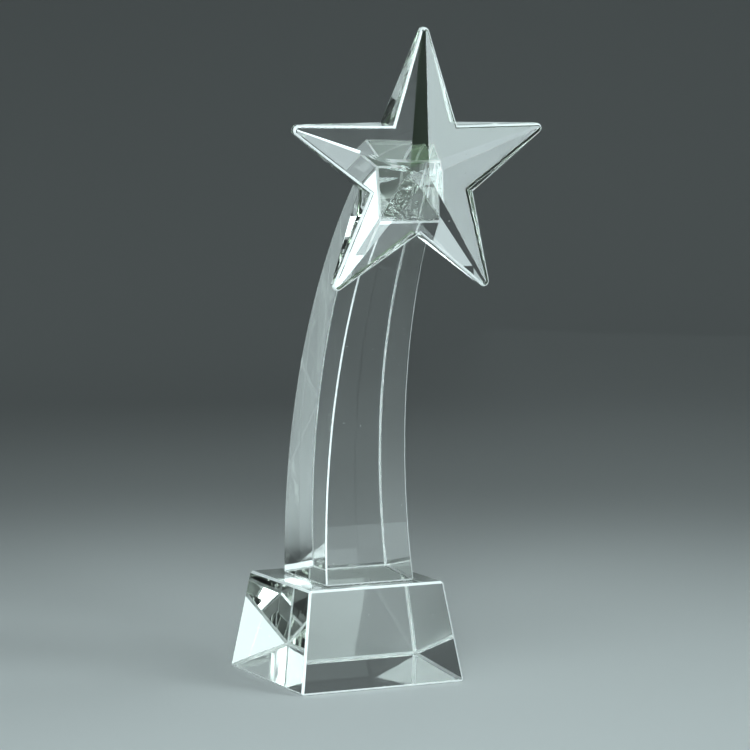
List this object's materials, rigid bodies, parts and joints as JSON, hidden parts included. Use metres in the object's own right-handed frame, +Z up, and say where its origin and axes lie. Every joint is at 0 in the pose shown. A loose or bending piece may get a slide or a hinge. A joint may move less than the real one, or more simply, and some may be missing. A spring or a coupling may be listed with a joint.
{
  "type": "star trophy",
  "caption": "Clear crystal award: a faceted star bonded to the flat head of a forward-bowing column that stands on a square block with sloping sides.",
  "frame": {"origin": "middle of the base block's underside, on the surface it stands on", "axes": "+Z up, the star faces -Y and the column bows that way, +X to the right seen from the front"},
  "size_m": [0.119, 0.1238, 0.2916],
  "materials": {
    "crystal": "ground and polished optical crystal, clear with a faint green tint in its depth",
    "adhesive": "clear cured adhesive film with small air bubbles"
  },
  "bodies": {
    "root": {"base_block": "crystal", "base_bond": "adhesive", "column": "crystal", "star_bond": "adhesive", "star": "crystal"}
  },
  "joints": []
}
